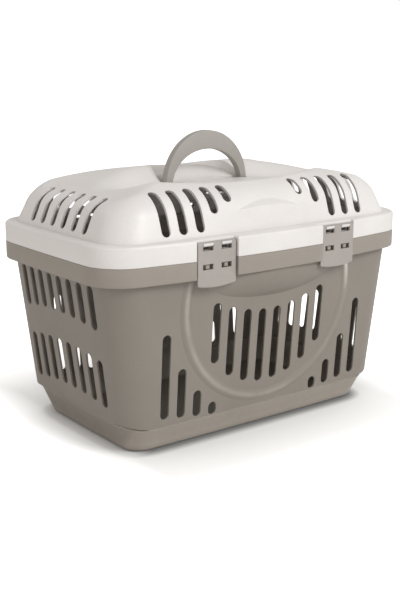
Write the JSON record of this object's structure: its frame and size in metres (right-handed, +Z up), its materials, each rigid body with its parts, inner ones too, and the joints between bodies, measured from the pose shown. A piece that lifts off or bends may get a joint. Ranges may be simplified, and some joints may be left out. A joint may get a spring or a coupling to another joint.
{
  "type": "top-opening animal carrier",
  "caption": "Small moulded animal carrier: vented tub with an embossed ring, domed vented lid that swings on rear clips, front swing clips and a folding carry handle in a well.",
  "frame": {"origin": "middle of the base, on the floor", "axes": "+X along the carrier's length, front with the pictured clips at -Y, +Z up"},
  "size_m": [0.48, 0.311, 0.3698],
  "materials": {
    "tub_plastic": "satin warm grey",
    "lid_plastic": "satin off-white",
    "handle_plastic": "satin light grey",
    "clip_plastic": "satin light grey"
  },
  "bodies": {
    "tub": {"tub": "tub_plastic"},
    "lid": {"lid": "lid_plastic"},
    "handle": {"handle": "handle_plastic"},
    "clip_front_left": {"clip_front_left": "clip_plastic"},
    "clip_front_right": {"clip_front_right": "clip_plastic"},
    "clip_rear_left": {"clip_rear_left": "clip_plastic"},
    "clip_rear_right": {"clip_rear_right": "clip_plastic"}
  },
  "joints": [
    {"name": "lid_hinge", "type": "hinge", "parent": "tub", "child": "lid", "pos_m": [0, 0.1478, 0.2545], "axis": [-1, 0, 0], "range_deg": [0, 100]},
    {"name": "handle_fold", "type": "hinge", "parent": "lid", "child": "handle", "pos_m": [0, 0, 0.30129], "axis": [-1, 0, 0], "range_deg": [0, 90]},
    {"name": "clip_front_left_swing", "type": "hinge", "parent": "lid", "child": "clip_front_left", "pos_m": [-0.0965, -0.1478, 0.2545], "axis": [-1, 0, 0], "range_deg": [0, 120]},
    {"name": "clip_front_right_swing", "type": "hinge", "parent": "lid", "child": "clip_front_right", "pos_m": [0.0965, -0.1478, 0.2545], "axis": [-1, 0, 0], "range_deg": [0, 120]},
    {"name": "clip_rear_left_swing", "type": "hinge", "parent": "tub", "child": "clip_rear_left", "pos_m": [-0.0965, 0.1478, 0.2545], "axis": [1, 0, 0], "range_deg": [0, 75]},
    {"name": "clip_rear_right_swing", "type": "hinge", "parent": "tub", "child": "clip_rear_right", "pos_m": [0.0965, 0.1478, 0.2545], "axis": [1, 0, 0], "range_deg": [0, 75]}
  ]
}
